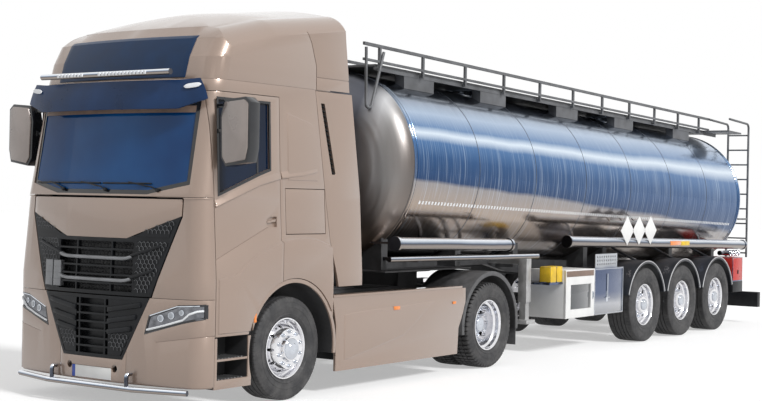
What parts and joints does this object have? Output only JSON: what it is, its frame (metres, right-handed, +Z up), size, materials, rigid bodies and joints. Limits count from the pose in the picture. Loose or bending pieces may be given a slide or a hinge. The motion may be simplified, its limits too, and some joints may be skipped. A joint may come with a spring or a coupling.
{
  "type": "articulated tanker truck",
  "caption": "Two-axle high-roof sleeper tractor coupled to a three-axle polished stainless tank semi-trailer, with steering, doors and lids that move.",
  "frame": {"origin": "middle of the bounding box's underside, on the road", "axes": "-Y towards the nose, +X to the vehicle's left, +Z up"},
  "size_m": [3.24, 14.157, 3.9635],
  "materials": {
    "cab_paint": "champagne metallic, clear coated",
    "black_plastic": "moulded, lightly textured",
    "grey_plastic": "coarse textured",
    "mirror_shell": "satin housing with black rim",
    "glass": "dark tint",
    "visor_plastic": "gloss",
    "grille_plastic": "moulded",
    "lamp_glass": "clear lens",
    "chrome": "polished",
    "seat_fabric": "woven",
    "cab_plastic": "soft grained",
    "cast_iron": "cast",
    "chassis_paint": "semi-gloss",
    "aluminium": "brushed",
    "alloy": "polished",
    "tyre": "moulded rubber",
    "tank_steel": "bright polished stainless with fine streaks",
    "walkway_steel": "satin",
    "stainless": "satin stainless",
    "silver_paint": "silver paint",
    "white_paint": "gloss",
    "black_paint": "semi-gloss"
  },
  "bodies": {
    "tractor": {"tractor_frame": "chassis_paint", "engine": "cast_iron", "front_axle": "chassis_paint", "drive_axle": "chassis_paint", "front_bumper": "cab_paint", "lower_grille": "grille_plastic", "headlamps": "lamp_glass", "front_mudguards": "black_plastic", "side_skirts": "cab_paint", "fuel_tanks": "aluminium", "fifth_wheel": "cast_iron", "rear_mudguards": "grey_plastic", "cab_shell": "cab_paint", "cab_roof": "cab_paint", "windscreen": "glass", "side_deflectors": "cab_paint", "sun_visor": "visor_plastic", "seats": "seat_fabric", "dashboard": "cab_plastic", "corner_panels": "cab_paint", "chrome_bars": "chrome"},
    "front_lid": {"front_panel": "cab_paint", "upper_grille": "grille_plastic"},
    "trailer": {"trailer_frame": "chassis_paint", "tank": "tank_steel", "walkway": "walkway_steel", "hose_tubes": "stainless", "landing_legs": "silver_paint", "cabinet": "white_paint", "side_boxes": "stainless", "trailer_axles": "chassis_paint", "trailer_mudguards": "black_plastic", "rear_bumper": "black_paint"},
    "cabinet_door": {"cabinet_door": "white_paint"},
    "manlid_front": {"manlid_front": "stainless"},
    "manlid_rear": {"manlid_rear": "stainless"},
    "knuckle_left": {"knuckle_left": "cast_iron"},
    "wheel_front_left": {"front_rim_left": "alloy", "front_tyre_left": "tyre"},
    "wheel_drive_left": {"drive_rims_left": "alloy", "drive_tyres_left": "tyre"},
    "door_left": {"door_left": "cab_paint", "door_glass_left": "glass", "mirror_left": "mirror_shell"},
    "locker_hatch_left": {"locker_hatch_left": "cab_paint"},
    "wheel_trailer_left_1": {"trailer_wheel_left_1": "tyre"},
    "wheel_trailer_left_2": {"trailer_wheel_left_2": "tyre"},
    "wheel_trailer_left_3": {"trailer_wheel_left_3": "tyre"},
    "knuckle_right": {"knuckle_right": "cast_iron"},
    "wheel_front_right": {"front_rim_right": "alloy", "front_tyre_right": "tyre"},
    "wheel_drive_right": {"drive_rims_right": "alloy", "drive_tyres_right": "tyre"},
    "door_right": {"door_right": "cab_paint", "door_glass_right": "glass", "mirror_right": "mirror_shell"},
    "locker_hatch_right": {"locker_hatch_right": "cab_paint"},
    "wheel_trailer_right_1": {"trailer_wheel_right_1": "tyre"},
    "wheel_trailer_right_2": {"trailer_wheel_right_2": "tyre"},
    "wheel_trailer_right_3": {"trailer_wheel_right_3": "tyre"}
  },
  "joints": [
    {"name": "trailer_yaw", "type": "hinge", "parent": "tractor", "child": "trailer", "pos_m": [0, -2.3915, 1.165], "axis": [0, 0, 1], "range_deg": [-90, 90]},
    {"name": "front_lid_hinge", "type": "hinge", "parent": "tractor", "child": "front_lid", "pos_m": [0, -6.9465, 2.01], "axis": [-1, 0, 0], "range_deg": [0, 75]},
    {"name": "steer_left", "type": "hinge", "parent": "tractor", "child": "knuckle_left", "pos_m": [0.87, -5.5545, 0.507], "axis": [0, 0, 1], "range_deg": [-40, 40]},
    {"name": "roll_front_left", "type": "hinge", "parent": "knuckle_left", "child": "wheel_front_left", "pos_m": [1.032, -5.5545, 0.507], "axis": [1, 0, 0], "continuous": true},
    {"name": "roll_drive_left", "type": "hinge", "parent": "tractor", "child": "wheel_drive_left", "pos_m": [0.905, -1.8055, 0.507], "axis": [1, 0, 0], "continuous": true},
    {"name": "door_left_hinge", "type": "hinge", "parent": "tractor", "child": "door_left", "pos_m": [1.254, -6.6835, 1.8], "axis": [0, 0, -1], "range_deg": [0, 80]},
    {"name": "locker_left_hinge", "type": "hinge", "parent": "tractor", "child": "locker_hatch_left", "pos_m": [1.206, -5.3465, 2.066], "axis": [0, -1, 0], "range_deg": [0, 85]},
    {"name": "roll_trailer_left_1", "type": "hinge", "parent": "trailer", "child": "wheel_trailer_left_1", "pos_m": [1.03, 2.5555, 0.53], "axis": [1, 0, 0], "continuous": true},
    {"name": "roll_trailer_left_2", "type": "hinge", "parent": "trailer", "child": "wheel_trailer_left_2", "pos_m": [1.03, 3.8655, 0.53], "axis": [1, 0, 0], "continuous": true},
    {"name": "roll_trailer_left_3", "type": "hinge", "parent": "trailer", "child": "wheel_trailer_left_3", "pos_m": [1.03, 5.1755, 0.53], "axis": [1, 0, 0], "continuous": true},
    {"name": "steer_right", "type": "hinge", "parent": "tractor", "child": "knuckle_right", "pos_m": [-0.87, -5.5545, 0.507], "axis": [0, 0, 1], "range_deg": [-40, 40]},
    {"name": "roll_front_right", "type": "hinge", "parent": "knuckle_right", "child": "wheel_front_right", "pos_m": [-1.032, -5.5545, 0.507], "axis": [1, 0, 0], "continuous": true},
    {"name": "roll_drive_right", "type": "hinge", "parent": "tractor", "child": "wheel_drive_right", "pos_m": [-0.905, -1.8055, 0.507], "axis": [1, 0, 0], "continuous": true},
    {"name": "door_right_hinge", "type": "hinge", "parent": "tractor", "child": "door_right", "pos_m": [-1.254, -6.6835, 1.8], "axis": [0, 0, 1], "range_deg": [0, 80]},
    {"name": "locker_right_hinge", "type": "hinge", "parent": "tractor", "child": "locker_hatch_right", "pos_m": [-1.206, -5.3465, 2.066], "axis": [0, 1, 0], "range_deg": [0, 85]},
    {"name": "roll_trailer_right_1", "type": "hinge", "parent": "trailer", "child": "wheel_trailer_right_1", "pos_m": [-1.03, 2.5555, 0.53], "axis": [1, 0, 0], "continuous": true},
    {"name": "roll_trailer_right_2", "type": "hinge", "parent": "trailer", "child": "wheel_trailer_right_2", "pos_m": [-1.03, 3.8655, 0.53], "axis": [1, 0, 0], "continuous": true},
    {"name": "roll_trailer_right_3", "type": "hinge", "parent": "trailer", "child": "wheel_trailer_right_3", "pos_m": [-1.03, 5.1755, 0.53], "axis": [1, 0, 0], "continuous": true},
    {"name": "cabinet_door_hinge", "type": "hinge", "parent": "trailer", "child": "cabinet_door", "pos_m": [1.243, 0.0625, 0.785], "axis": [0, 0, -1], "range_deg": [0, 110]},
    {"name": "manlid_front_hinge", "type": "hinge", "parent": "trailer", "child": "manlid_front", "pos_m": [-0.3, -0.5215, 3.4129], "axis": [0, -1, 0], "range_deg": [0, 100]},
    {"name": "manlid_rear_hinge", "type": "hinge", "parent": "trailer", "child": "manlid_rear", "pos_m": [-0.3, 3.4785, 3.2889], "axis": [0, -1, 0], "range_deg": [0, 100]}
  ],
  "couplings": [
    {"joint": "steer_right", "follows": "steer_left", "ratio": 1}
  ]
}
